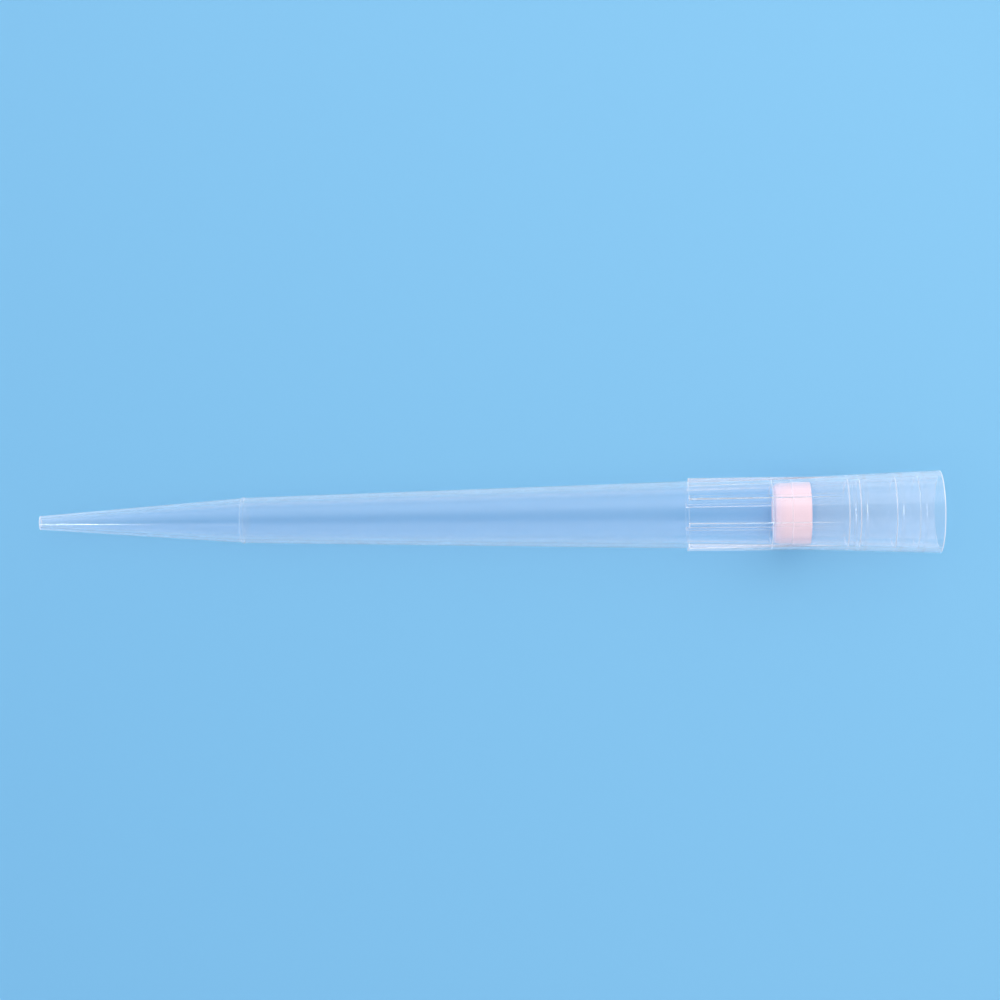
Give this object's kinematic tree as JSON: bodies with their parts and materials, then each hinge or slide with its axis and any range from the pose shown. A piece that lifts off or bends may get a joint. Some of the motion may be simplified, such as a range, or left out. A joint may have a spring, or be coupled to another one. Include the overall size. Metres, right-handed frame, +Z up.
{
  "type": "filter pipette tip",
  "caption": "Long translucent disposable pipette tip with a fine orifice cone, a ribbed collar, a flared ringed mouth and a porous filter plug pressed inside, lying on its side.",
  "frame": {"origin": "on the surface the tip lies on, under the middle of its bounding box", "axes": "+X along the tip towards its mouth, with the tip's own axis rising 1.6 degrees from +X; +Z up"},
  "size_m": [0.0962, 0.0088, 0.0089],
  "materials": {
    "polypropylene": "thin natural polypropylene, milky translucent on the cone and clearer at the collar and mouth, satin gloss",
    "porous_plastic": "sintered porous plastic, fine-grained and matte, off-white with a faint pink cast"
  },
  "bodies": {
    "root": {"tip_body": "polypropylene", "filter_plug": "porous_plastic"}
  },
  "joints": []
}
